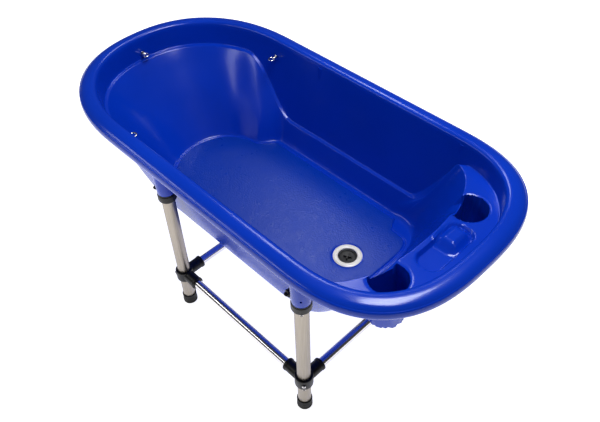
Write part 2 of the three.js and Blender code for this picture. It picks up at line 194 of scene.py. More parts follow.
def glossy_blue():
    m = blue_plastic("blue_plastic_gloss", (0.0008, 0.046, 0.47), (0.0014, 0.054, 0.53))
    m.set(Coat_Weight=0.15, Coat_Roughness=0.08)
    m.vary_roughness(m.noise(9, 4), 0.17, 0.25)
    m.feed(Normal=m.bump(m.noise(90, 2), 0.05, 0.0006))
    return m.material


def antislip_blue():
    """The floor panel's finish, with a fine grain."""
    m = blue_plastic("blue_plastic_antislip", (0.0004, 0.044, 0.37), (0.0008, 0.052, 0.42))
    m.vary_roughness(m.noise(40, 2), 0.27, 0.34)
    grain = m.mapped(m.noise(230, 1), 0.35, 0.65, 0.0, 1.0)
    m.feed(Normal=m.bump(grain, 0.40, 0.0006))
    return m.material


def satin_steel():
    """Stainless leg tube, polished along its length."""
    m = Material("satin_steel_tube", (0.40, 0.36, 0.315), 0.40, 1.0)
    streaks = m.noise(30, 4, 0.6, (14, 14, 0.35))
    m.tint(streaks, (0.35, 0.315, 0.27), (0.45, 0.41, 0.36))
    m.vary_roughness(streaks, 0.36, 0.46)
    m.feed(Normal=m.bump(streaks, 0.12, 0.0003))
    return m.material


def polished_steel(name, stretch):
    m = Material(name, (0.72, 0.70, 0.70), 0.12, 1.0)
    streaks = m.noise(25, 3, 0.5, stretch)
    m.tint(streaks, (0.66, 0.64, 0.64), (0.78, 0.77, 0.77))
    m.vary_roughness(streaks, 0.16, 0.26)
    m.feed(Normal=m.bump(streaks, 0.04, 0.0003))
    return m.material


def black_plastic():
    m = Material("black_plastic_grain", (0.007, 0.007, 0.008), 0.36)
    grain = m.noise(420, 2)
    m.tint(m.noise(18, 3), (0.005, 0.005, 0.006), (0.010, 0.010, 0.011))
    m.vary_roughness(m.noise(60, 3), 0.32, 0.46)
    m.feed(Normal=m.bump(grain, 0.18, 0.0004))
    return m.material


def black_rubber():
    m = Material("black_rubber_grain", (0.010, 0.010, 0.010), 0.62)
    m.tint(m.noise(30, 4), (0.008, 0.008, 0.008), (0.018, 0.017, 0.016))
    m.vary_roughness(m.noise(80, 3), 0.55, 0.72)
    m.feed(Normal=m.bump(m.noise(300, 3), 0.25, 0.0005))
    return m.material


def ivory_plastic():
    m = Material("ivory_drain_plastic", (0.80, 0.78, 0.70), 0.30)
    m.set(Subsurface_Weight=0.05, Subsurface_Radius=(0.002, 0.002, 0.0015))
    m.tint(m.noise(25, 4), (0.74, 0.71, 0.62), (0.86, 0.84, 0.77))
    m.vary_roughness(m.noise(50, 3), 0.25, 0.38)
    m.feed(Normal=m.bump(m.noise(120, 2), 0.08, 0.0005))
    return m.material


BLUE = glossy_blue()
FLOOR_BLUE = antislip_blue()
SATIN = satin_steel()
POLISHED_X = polished_steel("polished_tube_long", (0.4, 12, 12))
POLISHED_Y = polished_steel("polished_tube_cross", (12, 0.4, 12))
POLISHED = polished_steel("polished_fittings", (3, 3, 3))
BLACK = black_plastic()
RUBBER = black_rubber()
IVORY = ivory_plastic()


# ---- Mesh helpers ----
def piece(name, vertices, faces, material, body, stands_for, place=Matrix.Identity(4)):
    """A smooth-shaded mesh object that rides on a body in place of CAD nodes."""
    mesh = bpy.data.meshes.new(name)
    mesh.from_pydata([tuple(v) for v in vertices], [], [tuple(f) for f in faces])
    mesh.transform(place)
    obj = bpy.data.objects.new(name, mesh)
    bpy.context.scene.collection.objects.link(obj)
    return settle(obj, material, body, stands_for)


def settle(obj, material, body, stands_for):
    mesh = obj.data
    if not mesh.materials:
        mesh.materials.append(material)
    cleaner = bmesh.new()
    cleaner.from_mesh(mesh)
    bmesh.ops.recalc_face_normals(cleaner, faces=cleaner.faces)
    cleaner.to_mesh(mesh)
    cleaner.free()
    mesh.shade_smooth()
    mesh.set_sharp_from_angle(angle=math.radians(38))
    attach(obj, body)
    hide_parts(*stands_for)
    return obj


def rounded_profile(points, radius, steps=4):
    """A closed profile of [across, along] points with each corner rounded by up to radius."""
    points = [np.array(p, float) for p in points]
    result = []
    for i, corner in enumerate(points):
        before, after = points[i - 1] - corner, points[(i + 1) % len(points)] - corner
        if corner[0] < 1e-9:
            result.append(corner)
            continue
        start = corner + before * min(0.45, radius / max(np.linalg.norm(before), 1e-9))
        end = corner + after * min(0.45, radius / max(np.linalg.norm(after), 1e-9))
        for k in range(steps + 1):
            t = k / steps
            result.append((1 - t) ** 2 * start + 2 * t * (1 - t) * corner + t * t * end)
    return result


def turned(points, radius=0.0006, segments=64, steps=4):
    """Vertices and faces of a profile turned about Z. A profile that touches the axis is closed there."""
    profile = rounded_profile(points, radius, steps)
    open_ends = profile[0][0] < 1e-9 and profile[-1][0] < 1e-9
    vertices, index = [], []
    for across, along in profile:
        if across < 1e-9:
            index.append([len(vertices)] * segments)
            vertices.append((0, 0, along))
            continue
        index.append([len(vertices) + k for k in range(segments)])
        vertices += [
            (across * math.cos(TAU * k / segments), across * math.sin(TAU * k / segments), along)
            for k in range(segments)
        ]
    faces = []
    rows = list(zip(index, index[1:] if open_ends else index[1:] + index[:1]))
    for low, high in rows:
        for k in range(segments):
            after = (k + 1) % segments
            ring = [low[k], low[after], high[after], high[k]]
            face = [v for j, v in enumerate(ring) if v != ring[j - 1]]
            if len(face) > 2:
                faces.append(face)
    return vertices, faces


def rod(radius, low, high):
    """The profile of a solid cylinder."""
    return [(0, low), (radius, low), (radius, high), (0, high)]


def sleeve(inner, outer, low, high):
    """The profile of a tube's wall."""
    return [(inner, low), (outer, low), (outer, high), (inner, high)]


def polygon(sides, radius):
    return [(radius * math.cos(TAU * k / sides), radius * math.sin(TAU * k / sides)) for k in range(sides)]


def ring_faces(rings, segments, closed):
    """Faces between neighbouring rings of points, and from the last ring to the first if closed."""
    faces = []
    for i in range(rings if closed else rings - 1):
        low, high = i * segments, (i + 1) % rings * segments
        for k in range(segments):
            after = (k + 1) % segments
            faces.append([low + k, low + after, high + after, high + k])
    return faces


def extruded(outline, low, high):
    """Vertices and faces of an outline in XY, from low to high along Z."""
    count = len(outline)
    vertices = [(x, y, low) for x, y in outline] + [(x, y, high) for x, y in outline]
    faces = [list(range(count))[::-1], [count + k for k in range(count)]]
    faces += [[k, (k + 1) % count, count + (k + 1) % count, count + k] for k in range(count)]
    return vertices, faces


def scratch(vertices, faces, place=Matrix.Identity(4)):
    """A loose mesh object, for joins and cuts."""
    mesh = bpy.data.meshes.new("scratch")
    mesh.from_pydata([tuple(v) for v in vertices], [], [tuple(f) for f in faces])
    mesh.transform(place)
    obj = bpy.data.objects.new("scratch", mesh)
    bpy.context.scene.collection.objects.link(obj)
    cleaner = bmesh.new()
    cleaner.from_mesh(mesh)
    bmesh.ops.recalc_face_normals(cleaner, faces=cleaner.faces)
    cleaner.to_mesh(mesh)
    cleaner.free()
    return obj


def applied(obj):
    """obj with its modifiers' result as its mesh."""
    view = bpy.context.evaluated_depsgraph_get()
    result = bpy.data.meshes.new_from_object(obj.evaluated_get(view))
    obj.modifiers.clear()
    obj.data = result
    return obj


def combine(base, others, operation):
    for other in others:
        modifier = base.modifiers.new("cut", "BOOLEAN")
        modifier.operation = operation
        modifier.solver = "EXACT"
        modifier.object = other
    applied(base)
    for other in others:
        bpy.data.objects.remove(other)
    return base


def named(obj, name, material, body, stands_for):
    obj.name = name
    obj.data.name = name
    return settle(obj, material, body, stands_for)


def pointing(direction, at):
    """A placement that turns +Z to a direction and moves to a point."""
    turn = Vector(direction).to_track_quat("Z", "Y").to_matrix().to_4x4()
    return Matrix.Translation(at) @ turn


# ---- Tub ----
def smooth(low, high, value):
    share = np.clip((value - low) / (high - low), 0, 1)
    return share * share * (3 - 2 * share)


def outline(turn, right, left, half_width, right_centre, left_centre, right_power, left_power):
    """Points of an outline with two rounded ends. turn runs 0-1 round the shelf end, then 1-2 along
    the rear, 2-3 round the deep end and 3-4 along the front."""
    angle = np.where(turn < 1, turn, turn - 2) * math.pi - math.pi / 2
    power = np.where(turn < 1, right_power, left_power)
    cosine, sine = np.cos(angle), np.sin(angle)
    u = np.sign(cosine) * np.abs(cosine) ** (2 / power)
    v = np.sign(sine) * np.abs(sine) ** (2 / power)
    at_right, at_left = turn <= 1, (turn >= 2) & (turn <= 3)
    share = np.where(turn < 2, turn - 1, 4 - turn)
    along_side = right_centre + (left_centre - right_centre) * share
    x = np.where(at_left, left_centre + (left - left_centre) * u, along_side)
    x = np.where(at_right, right_centre + (right - right_centre) * u, x)
    beside = np.where(turn < 2, half_width, -half_width)
    y = np.where(at_right, half_width * v, np.where(at_left, -half_width * v, beside))
    return x, y


def rim_outline(turn, grow, **changes):
    line = dict(
        right=MID_LENGTH + grow,
        left=-MID_LENGTH - grow,
        half_width=MID_WIDTH + grow,
        right_centre=SHELF_CENTRE,
        left_centre=DEEP_CENTRE,
        right_power=SHELF_POWER,
        left_power=DEEP_POWER,
    )
    return outline(turn, **{**line, **changes})


def rim_ring(turn, grow, z):
    x, y = rim_outline(turn, grow)
    return np.stack([x, y, np.full_like(x, z)], 1)


def ledge_height(x):
    """High round the deep end, low along the sides, and at the shelf's height at the other end."""
    z = DEEP_LEDGE_Z + (SIDE_LEDGE_Z - DEEP_LEDGE_Z) * smooth(-0.400, -0.190, x)
    return z + (SHELF_Z - SIDE_LEDGE_Z) * smooth(0.265, 0.425, x)


def wall_inset(z):
    return 0.034 + (0.545 - z) * 0.165


def ledge_ring(turn, grow, drop, inner):
    """The ledge's outer or inner edge. On the shelf's side the inner edge is the shelf's front edge."""
    guide, _ = rim_outline(turn, -0.040)
    z = ledge_height(guide)
    inset = wall_inset(z) + (0.009 if inner else 0)
    changes = dict(right=0.601 + grow, left=-0.597 - grow)
    if inner:
        changes = dict(right=0.490 + grow, left=-0.587 - grow, right_centre=0.360, right_power=2.3)
    x, y = rim_outline(turn, grow - inset, **changes)
    return np.stack([x, y, z - drop], 1)


def foot_ring(turn, grow, z):
    """Where the walls meet the floor: wide in the middle, narrow round the deep end, with an S between."""
    x, y = outline(turn, FLOOR_RIGHT + grow, FLOOR_LEFT - grow, 1.0, 0.265, -0.255, 3.0, 2.1)
    widening = FLOOR_HALF_WIDTH - FLOOR_DEEP_HALF_WIDTH
    width = FLOOR_DEEP_HALF_WIDTH + widening * smooth(-0.270, -0.212, x)
    return np.stack([x, y * (width + grow), np.full_like(x, z)], 1)


def panel_ring(turn, grow, z):
    """The anti-slip panel's edge, with an S in each corner."""
    x, y = outline(turn, PANEL_RIGHT + grow, PANEL_LEFT - grow, 1.0, 0.285, -0.255, 5.0, 2.1)
    widening = PANEL_HALF_WIDTH - PANEL_DEEP_HALF_WIDTH
    width = PANEL_DEEP_HALF_WIDTH + widening * smooth(-0.262, -0.212, x) - 0.038 * smooth(0.260, 0.290, x)
    return np.stack([x, y * (width + grow), np.full_like(x, z)], 1)


def drain_ring(turn, radius, z):
    x, y = foot_ring(turn, 0, z)[:, :2].T
    away = np.hypot(x - DRAIN_X, y)
    return np.stack([DRAIN_X + (x - DRAIN_X) / away * radius, y / away * radius, np.full_like(x, z)], 1)


def along_outline():
    """Values of turn, closest together where the shelf is."""
    dense = np.linspace(0, 4, 4001)
    x, y = rim_outline(dense, -0.08)
    step = np.hypot(np.diff(x), np.diff(y)) * np.where(dense[:-1] < 1, 3.6, 1.0)
    length = np.concatenate([[0], np.cumsum(step)])
    return np.interp(np.linspace(0, length[-1], 440, endpoint=False), length, dense)


RIM_PROFILE = (
    # grow, height, corner radius, steps to the next ring
    (-0.0285, 0.540, 0.004, 1),
    (-0.023, 0.551, 0.004, 1),
    (-0.008, 0.5540, 0.006, 1),
    (0.004, 0.5495, 0.004, 1),
    (0.009, 0.541, 0.004, 1),
    (0.0095, 0.5305, 0.001, 1),
    (0.0125, 0.5292, 0.0012, 1),
    (0.0145, 0.534, 0.002, 1),
    (0.0145, 0.5420, 0.0045, 1),
    (0.0119, 0.5490, 0.0020, 1),
    (0.0092, 0.5500, 0.0010, 1),
    (0.0072, 0.5522, 0.0012, 1),
    (0.001, 0.5568, 0.005, 1),
    (-0.012, 0.5604, 0.006, 2),
    (-0.024, 0.5602, 0.004, 1),
    (-0.0312, 0.5570, 0.0035, 1),
    (-0.0338, 0.548, 0.004, 7),
)


def section(turn):
    """The closed cross-section at every turn: named rings of points, each with its corner radius, the steps
    round that corner, and the steps to the next ring."""
    inner = ledge_ring(turn, 0, 0.003, True)
    outer = ledge_ring(turn, 0, 0, False)
    across = np.linalg.norm(outer - inner, axis=1)[:, None]
    lip = inner + (outer - inner) * np.minimum(0.45, CUP_LIP / across)
    under_shelf = (0.007 * smooth(0.42, 0.47, inner[:, 0]))[:, None] * [0, 0, 1]
    rows = [
        ("under_drain", drain_ring(turn, DRAIN_TAIL_RADIUS + GAP, DRAIN_SEAT_Z - WALL), 0.0005, 2, 2),
        ("under_floor", drain_ring(turn, 0.060, DRAIN_SEAT_Z - WALL), 0.010, 2, 3),
        ("under_foot", foot_ring(turn, 0.003, FLOOR_Z - WALL), 0.026, 5, 5),
        ("under_front", ledge_ring(turn, WALL, 0.010, True) - under_shelf, 0.004, 3, 24),
        ("under_back", ledge_ring(turn, WALL, 0.006, False) - under_shelf, 0.006, 3, 5),
    ]
    rows += [("rim", rim_ring(turn, grow, z), radius, 2, steps) for grow, z, radius, steps in RIM_PROFILE]
    rows += [
        ("shelf", outer, 0.0036, 4, 50),
        ("lip", lip, 0.0001, 1, 2),
        ("edge", inner, 0.0024, 4, 7),
        ("foot", foot_ring(turn, 0.001, FLOOR_Z), 0.027, 6, 2),
        ("gutter", panel_ring(turn, 0.0078, FLOOR_Z), 0.0010, 2, 1),
        ("gutter", panel_ring(turn, 0.0055, FLOOR_Z - PANEL_GROOVE), 0.0008, 2, 1),
        ("panel_side", panel_ring(turn, 0.0026, FLOOR_Z - PANEL_GROOVE), 0.0008, 2, 1),
        ("panel", panel_ring(turn, 0.0, FLOOR_Z + PANEL_RISE), 0.0010, 2, 7),
        ("panel", drain_ring(turn, 0.060, FLOOR_Z + 0.0012), 0.006, 2, 2),
        ("recess", drain_ring(turn, 0.0432, FLOOR_Z + 0.0002), 0.0006, 2, 1),
        ("recess", drain_ring(turn, 0.0424, DRAIN_SEAT_Z), 0.0004, 2, 1),
        ("drain_bore", drain_ring(turn, DRAIN_TAIL_RADIUS + GAP, DRAIN_SEAT_Z), 0.0005, 2, 1),
    ]
    return rows


def filled_rings(rows):
    """Every ring of the cross-section with its corners rounded, the name of the row each comes from,
    and how many rings past its corner it is."""
    rings, names, past = [], [], []
    count = len(rows)
    cut = []
    for i, (_, here, radius, _, _) in enumerate(rows):
        sides = (rows[i - 1][1] - here, rows[(i + 1) % count][1] - here)
        lengths = [np.maximum(np.linalg.norm(side, axis=1), 1e-9) for side in sides]
        reach = [np.minimum(0.42, radius / length)[:, None] for length in lengths]
        cut.append((here + sides[0] * reach[0], here + sides[1] * reach[1]))
    for i, (name, here, _, corner_steps, steps) in enumerate(rows):
        start, end = cut[i]
        for k in range(corner_steps + 1):
            t = k / corner_steps
            rings.append((1 - t) ** 2 * start + 2 * t * (1 - t) * here + t * t * end)
            past.append(0)
        following = cut[(i + 1) % count][0]
        for k in range(1, steps):
            rings.append(end + (following - end) * k / steps)
            past.append(k)
        names += [name] * (corner_steps + steps)
    return np.array(rings), np.array(names), np.array(past)


def rounded_box_distance(x, y, shape):
    """Signed distance to a rounded rectangle, negative inside."""
    a = np.abs(x - shape["x"]) - shape["width"] / 2 + shape["corner"]
    b = np.abs(y - shape["y"]) - shape["length"] / 2 + shape["corner"]
    outside = np.hypot(np.maximum(a, 0), np.maximum(b, 0))
    return outside + np.minimum(np.maximum(a, b), 0) - shape["corner"]


def drawn_to_circle(x, y, side, radius, reach):
    """Points near a cup's circle drawn towards it, and their signed distance to it, negative inside."""
    dx, dy = x - CUP_X, y - side * CUP_Y
    away = np.maximum(np.hypot(dx, dy), 1e-6)
    gap = away - radius
    drawn = np.where(np.abs(gap) < reach, gap * np.abs(gap) / reach, gap)
    return x + dx / away * (drawn - gap), y + dy / away * (drawn - gap), drawn


def shaped_shelf(points, from_edge):
    """Sinks the cup holders and the soap dish into the shelf, and raises the block in the dish."""
    x, y, z = points[..., 0].copy(), points[..., 1].copy(), points[..., 2].copy()
    free = from_edge - CUP_LIP
    for side in (-1, 1):
        drawn_x, drawn_y, gap = drawn_to_circle(x, y, side, CUP_RADIUS, 0.009)
        hold = smooth(0.0, 0.006, free)
        x, y = x + (drawn_x - x) * hold, y + (drawn_y - y) * hold
        gap = np.hypot(x - CUP_X, y - side * CUP_Y) - CUP_RADIUS
        inside = np.minimum(-gap, free * 0.30)
        z = z - (z - CUP_FLOOR_Z) * smooth(0.0, 0.0036, inside)
        z = z - 0.0018 * smooth(-0.004, 0.0, np.minimum(-gap, free)) * (inside <= 0)
    dish = rounded_box_distance(x, y, DISH)
    z = z - DISH["depth"] * smooth(0.0005, 0.008, -dish)
    hump = rounded_box_distance(x, y, HUMP)
    crown = 0.002
    rise = HUMP["top"] - crown - SHELF_Z + DISH["depth"]
    z = z + rise * smooth(-0.003, 0.028, -hump) + crown * smooth(0.0, 0.03, -hump)
    return np.stack([x, y, z], -1)


def lip_drop(y):
    """How far the front edge drops beside a cup: more away from the middle, then back in a step."""
    side = np.abs(y)
    return 0.025 * smooth(0.090, 0.145, side) * (1 - smooth(0.1655, 0.1705, side))


def shaped_underside(points):
    """The outside of the cup holders, hanging under the shelf."""
    x, y, z = points[..., 0], points[..., 1], points[..., 2]
    for side in (-1, 1):
        x, y, gap = drawn_to_circle(x, y, side, CUP_RADIUS + 0.004, 0.008)
        z = z - (z - CUP_FLOOR_Z + 0.004) * smooth(0.0, 0.003, -gap)
    return np.stack([x, y, z], -1)


def with_shelf_details(rings, names, past, edge):
    at_shelf_end = (rings[..., 0] > 0.425)[..., None]
    from_edge = np.linalg.norm((rings - edge[None])[..., :2], axis=2)
    on_shelf = np.isin(names, ["shelf"])[:, None, None] & at_shelf_end
    result = np.where(on_shelf, shaped_shelf(rings, from_edge), rings)
    under = np.isin(names, ["under_front"])[:, None, None] & at_shelf_end
    result = np.where(under, shaped_underside(rings), result)
    near_edge = np.isin(names, ["lip", "edge"]) * np.maximum(0, 1 - 0.7 * past)
    near_edge = np.where(names == "lip", 1.0, near_edge)[:, None] * at_shelf_end[..., 0]
    result[..., 2] -= near_edge * lip_drop(rings[..., 1])
    return result


def tub():
    turn = along_outline()
    rows = section(turn)
    edge = next(ring for name, ring, *_ in rows if name == "edge")
    rings, names, past = filled_rings(rows)
    rings = with_shelf_details(rings, names, past, edge)

    ring_count, turn_count = rings.shape[:2]
    row, column = np.meshgrid(np.arange(ring_count), np.arange(turn_count), indexing="ij")
    here, below = row * turn_count, (row + 1) % ring_count * turn_count
    beside = (column + 1) % turn_count
    faces = np.stack([here + column, here + beside, below + beside, below + column], -1).reshape(-1, 4)
    body = scratch(rings.reshape(-1, 3).tolist(), faces.tolist())
    body.data.materials.append(BLUE)
    body.data.materials.append(FLOOR_BLUE)
    on_panel = np.repeat(names == "panel", turn_count)
    body.data.polygons.foreach_set("material_index", on_panel.astype(np.int32))
    return named(body, "tub_moulding", BLUE, "tub", ["tub_shell"])


def leg_place(corner):
    low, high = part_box(f"leg_{corner}")
    return Vector(((low.x + high.x) / 2, (low.y + high.y) / 2, 0))


def leg_socket(corner):
    """A moulded socket that leans out from the wall, with a bore for the leg and a pin hole in front."""
    at = leg_place(corner)
    side = math.copysign(1, at.y)
    bore = LEG_RADIUS + GAP
    rows = [
        # radius, height, shift away from the basin
        (0.0225, SOCKET_BOTTOM, 0),
        (0.0228, SOCKET_BOTTOM + 0.0012, 0),
        (0.0228, 0.470, 0.001),
        (0.0222, 0.510, 0.003),
        (0.0205, SOCKET_TOP, 0.005),
        (0.0150, SOCKET_TOP, 0.005),
        (0.0150, 0.510, 0.001),
        (bore, 0.509, 0),
        (bore, SOCKET_BOTTOM, 0),
    ]
    segments = 64
    vertices = [
        (at.x + across[0], at.y + side * shift + across[1], z)
        for radius, z, shift in rows
        for across in polygon(segments, radius)
    ]
    body = scratch(vertices, ring_faces(len(rows), segments, True))
    outward = outward_of(corner)
    start = at + outward * 0.0195 + Vector((0, 0, PIN_HOLE_Z))
    hole = scratch(*turned(rod(0.0028, 0, 0.02), 0, 16), pointing(outward, start))
    combine(body, [hole], "DIFFERENCE")
    return named(body, f"tub_socket_{corner}", BLUE, "tub", ["tub_shell"])


# ---- Legs and what sits on them ----
def outward_of(corner):
    """Level, from a leg away from the middle of the frame."""
    x = -1 if corner.endswith("deep") else 1
    y = -1 if corner.startswith("front") else 1
    return Vector((x, y, 0)).normalized()


def button_height(level, corner):
    low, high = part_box(f"{level}_button_{corner}")
    return (low.z + high.z) / 2


def leg(corner):
    at = leg_place(corner)
    low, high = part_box(f"leg_{corner}")
    wall = sleeve(LEG_RADIUS - 0.0015, LEG_RADIUS, low.z, high.z)
    body = scratch(*turned(wall, 0.0005, 96), Matrix.Translation(at))
    holes = []
    for level in ("upper", "lower"):
        place = pointing(outward_of(corner), at + Vector((0, 0, button_height(level, corner))))
        holes.append(scratch(*turned(rod(BUTTON_RADIUS + 0.0003, 0.010, 0.025), 0, 32), place))
    combine(body, holes, "DIFFERENCE")
    return named(body, f"leg_tube_{corner}", SATIN, "legs", [f"leg_{corner}"])


def foot(corner):
    """Rubber cap with a lip, a flared base and grooves round it."""
    radius, height, inner, seat = 0.0205, 0.034, LEG_RADIUS + GAP, 0.00665
    profile = [
        (0, 0),
        (radius - 0.002, 0),
        (radius, 0.002),
        (radius, 0.0075),
        (radius - 0.0008, 0.0082),
        (radius - 0.0008, 0.0094),
        (radius, 0.0101),
        (radius - 0.0012, height - 0.006),
        (radius - 0.0002, height - 0.0048),
        (radius - 0.0004, height - 0.001),
        (radius - 0.0014, height),
        (inner, height),
        (inner, seat),
        (0, seat),
    ]
    vertices, faces = turned(profile, 0.0008, 72)
    place = Matrix.Translation(leg_place(corner))
    return piece(f"foot_cap_{corner}", vertices, faces, RUBBER, "legs", [f"foot_{corner}"], place)


def snap_button(level, corner):
    """Round button with a dimple in its face."""
    base, tip, radius, dimple = 0.010, LEG_RADIUS + 0.0045, BUTTON_RADIUS, 0.0024
    profile = [
        (0, base),
        (radius, base),
        (radius, tip - 0.0018),
        (radius - 0.0007, tip - 0.0004),
        (dimple + 0.0003, tip),
        (dimple, tip - 0.0022),
        (0, tip - 0.0026),
    ]
    vertices, faces = turned(profile, 0.0006, 32)
    at = leg_place(corner) + Vector((0, 0, button_height(level, corner)))
    place = pointing(outward_of(corner), at)
    node = f"{level}_button_{corner}"
    return piece(f"{level}_snap_{corner}", vertices, faces, POLISHED, node, [node], place)


def collar(corner):
    """Black ring under the socket, with a boss for the knob's stem towards the deep end."""
    at = leg_place(corner)
    bottom, top, radius, inner = COLLAR_BOTTOM, SOCKET_BOTTOM - GAP, 0.0242, LEG_RADIUS + GAP
    profile = [
        (inner, bottom),
        (radius - 0.0022, bottom),
        (radius, bottom + 0.003),
        (radius, top - 0.004),
        (radius - 0.0012, top - 0.003),
        (radius - 0.0012, top),
        (inner, top),
    ]
    body = scratch(*turned(profile, 0.0008, 72), Matrix.Translation(at))
    low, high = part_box(f"knob_{corner}")
    towards_knob = pointing(KNOB_WAY, Vector((at.x, at.y, (low.z + high.z) / 2)))
    boss = scratch(*turned(rod(0.0075, 0.019, 0.031), 0.0008, 40), towards_knob)
    bore = scratch(*turned(rod(0.00435, 0.012, 0.04), 0, 32), towards_knob)
    core = scratch(*turned(rod(inner, bottom - 0.01, top + 0.01), 0, 72), Matrix.Translation(at))
    combine(body, [boss], "UNION")
    combine(body, [bore, core], "DIFFERENCE")
    return named(body, f"socket_collar_{corner}", BLACK, "tub", [f"collar_{corner}"])


def knob(corner):
    """Five-lobed knob with a domed face, on its stem."""
    low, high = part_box(f"knob_{corner}")
    at = leg_place(corner) + Vector((0, 0, (low.z + high.z) / 2))
    segments, lobes, radius, start, length = 90, 5, 0.0117, 0.036, 0.010
    rows = [
        # share of the radius, height above the head's start
        (0.0, 0.0),
        (0.80, 0.0),
        (0.95, 0.0006),
        (1.0, 0.002),
        (1.0, 0.0072),
        (0.94, 0.0090),
        (0.80, 0.0098),
        (0.0, length),
    ]
    vertices = []
    for share, along in rows:
        for k in range(segments):
            angle = TAU * k / segments
            across = share * radius * (0.79 + 0.21 * math.cos(lobes * angle))
            vertices.append((across * math.cos(angle), across * math.sin(angle), start + along))
    head = scratch(vertices, ring_faces(len(rows), segments, False))
    cleaner = bmesh.new()
    cleaner.from_mesh(head.data)
    bmesh.ops.remove_doubles(cleaner, verts=cleaner.verts, dist=1e-7)
    bmesh.ops.recalc_face_normals(cleaner, faces=cleaner.faces)
    cleaner.to_mesh(head.data)
    cleaner.free()
    seat, stem_radius, pitch = LEG_RADIUS + GAP, 0.0038, 0.0012
    thread = []
    for k in range(12):
        z = seat + pitch * k
        thread += [(stem_radius, z), (stem_radius - 0.0004, z + pitch / 2)]
    profile = [(0, seat)] + thread + [(stem_radius, start + 0.002), (0, start + 0.002)]
    combine(head, [scratch(*turned(profile, 0, 24))], "UNION")
    head.data.transform(pointing(KNOB_WAY, at))
    return named(head, f"knob_head_{corner}", BLACK, f"knob_{corner}", [f"knob_{corner}"])


# ---- Lower frame ----
def connector(corner):
    """Moulded corner: a ring round the leg and two arms, each with a lip where the rail goes in."""
    at = leg_place(corner) + Vector((0, 0, BRACE_Z))
    arm_radius, reach, lip = 0.018, 0.060, 0.007
    outward = outward_of(corner)
    ways = (
        Vector((-math.copysign(1, outward.x), 0, 0)),
        Vector((0, -math.copysign(1, outward.y), 0)),
    )
    ring = rod(CONNECTOR_RING_RADIUS, -arm_radius, arm_radius)
    body = scratch(*turned(ring, 0.003, 72), Matrix.Translation(at))
    arm = [
        (0, 0),
        (arm_radius - 0.0012, 0),
        (arm_radius - 0.0012, reach - lip - 0.001),
        (arm_radius, reach - lip),
        (arm_radius, reach),
        (0, reach),
    ]
    arms = [scratch(*turned(arm, 0.0015, 64), pointing(way, at)) for way in ways]
    web = scratch(*turned(rod(0.0085, 0.012, 0.0237), 0.0008, 40), pointing(outward, at))
    combine(body, [*arms, web], "UNION")
    rail_bore = rod(RAIL_RADIUS + GAP, 0.031, 0.07)
    cuts = [scratch(*turned(rail_bore, 0, 64), pointing(way, at)) for way in ways]
    cuts.append(scratch(*turned(rod(LEG_RADIUS + GAP, -0.03, 0.03), 0, 96), Matrix.Translation(at)))
    cuts.append(scratch(*turned(rod(0.00285, 0.010, 0.04), 0, 24), pointing(outward, at)))
    combine(body, cuts, "DIFFERENCE")
    return named(body, f"corner_connector_{corner}", BLACK, "brace", [f"connector_{corner}"])


def clamp_bolt(corner):
    """Domed bolt head with a hexagon socket."""
    tail, seat = LEG_RADIUS + 2 * GAP, CONNECTOR_RING_RADIUS + GAP
    tip = seat + 0.0036
    profile = [
        (0, tail),
        (0.0025, tail),
        (0.0025, seat),
        (0.005, seat),
        (0.005, seat + 0.002),
        (0.0034, tip),
        (0, tip),
    ]
    body = scratch(*turned(profile, 0.0004, 36))
    hexagon = scratch(*extruded(polygon(6, 0.0021), seat + 0.0012, tip + 0.001))
    combine(body, [hexagon], "DIFFERENCE")
    at = leg_place(corner) + Vector((0, 0, BRACE_Z))
    body.data.transform(pointing(outward_of(corner), at))
    return named(body, f"clamp_screw_{corner}", POLISHED, "brace", [f"clamp_bolt_{corner}"])


def rail(name, node, axis):
    low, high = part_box(node)
    middle = (low + high) / 2
    half = (high - low)[axis] / 2
    vertices, faces = turned(sleeve(RAIL_RADIUS - 0.0012, RAIL_RADIUS, -half, half), 0.0004, 72)
    direction = (1, 0, 0) if axis == 0 else (0, 1, 0)
    material = POLISHED_X if axis == 0 else POLISHED_Y
    return piece(name, vertices, faces, material, "brace", [node], pointing(direction, middle))


# ---- Drain ----
def drain_ring_piece(place):
    """The flange in the floor's recess, and its threaded tail."""
    seat, tail, hole, flange = DRAIN_SEAT_Z, DRAIN_TAIL_RADIUS, 0.026, 0.040
    inner = 0.022
    profile = [
        (hole, seat - 0.008),
        (inner, seat - 0.010),
        (inner, DRAIN_TAIL_BOTTOM),
        (tail - 0.001, DRAIN_TAIL_BOTTOM),
        (tail - 0.001, seat + GAP),
        (flange, seat + GAP),
        (flange - 0.0004, seat + 0.0018),
        (flange - 0.005, seat + 0.0034),
        (hole + 0.0035, seat + 0.0036),
        (hole, seat + 0.002),
    ]
    return piece("drain_ring", *turned(profile, 0.0007, 96), IVORY, "tub", ["drain_flange"], place)


def drain_nut(place, top):
    """An eight-sided locknut with its corners turned off."""
    tail = DRAIN_TAIL_RADIUS
    nut = scratch(*extruded(polygon(8, 0.040), top - 0.012, top), place)
    chamfer_profile = [
        (0, top - 0.013),
        (0.0375, top - 0.013),
        (0.0395, top - 0.010),
        (0.0395, top - 0.002),
        (0.0375, top + 0.001),
        (0, top + 0.001),
    ]
    chamfer = scratch(*turned(chamfer_profile, 0.0002, 72), place)
    bore = scratch(*turned(rod(tail - 0.0006, top - 0.02, top + 0.01), 0, 72), place)
    combine(nut, [chamfer], "INTERSECT")
    combine(nut, [bore], "DIFFERENCE")
    return named(nut, "drain_nut", BLACK, "tub", ["drain_locknut"])


